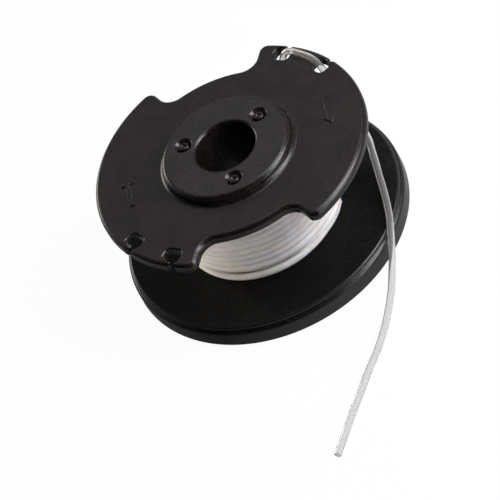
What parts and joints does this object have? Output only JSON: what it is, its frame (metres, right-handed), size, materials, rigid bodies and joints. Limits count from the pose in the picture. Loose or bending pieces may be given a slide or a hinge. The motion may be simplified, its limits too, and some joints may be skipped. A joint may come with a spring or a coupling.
{
  "type": "trimmer line spool",
  "caption": "Flanged spool on a spindle bore, wound with clear nylon cutting line that is parked in rim slots and ends in a loose tail.",
  "frame": {"origin": "on the spindle's axis, in the plane of the foot of the lower flange's skirt, which is the face that the spool rests on", "axes": "+Z along the spindle bore, from the lower flange to the boss; +Y through the middle of one rim cut-out, the one next to the slots that hold the line, and -Y through the other"},
  "size_m": [0.067, 0.1043, 0.0286],
  "materials": {
    "black_plastic": "fine spark-eroded grain, glossier on the edges",
    "nylon": "clear extruded nylon"
  },
  "bodies": {
    "root": {"top_flange": "black_plastic", "drum": "black_plastic", "bottom_flange": "black_plastic", "winding_core": "nylon", "winding_outer": "nylon", "line_anchor": "nylon", "line_hitch": "nylon", "line_tail": "nylon"}
  },
  "joints": []
}
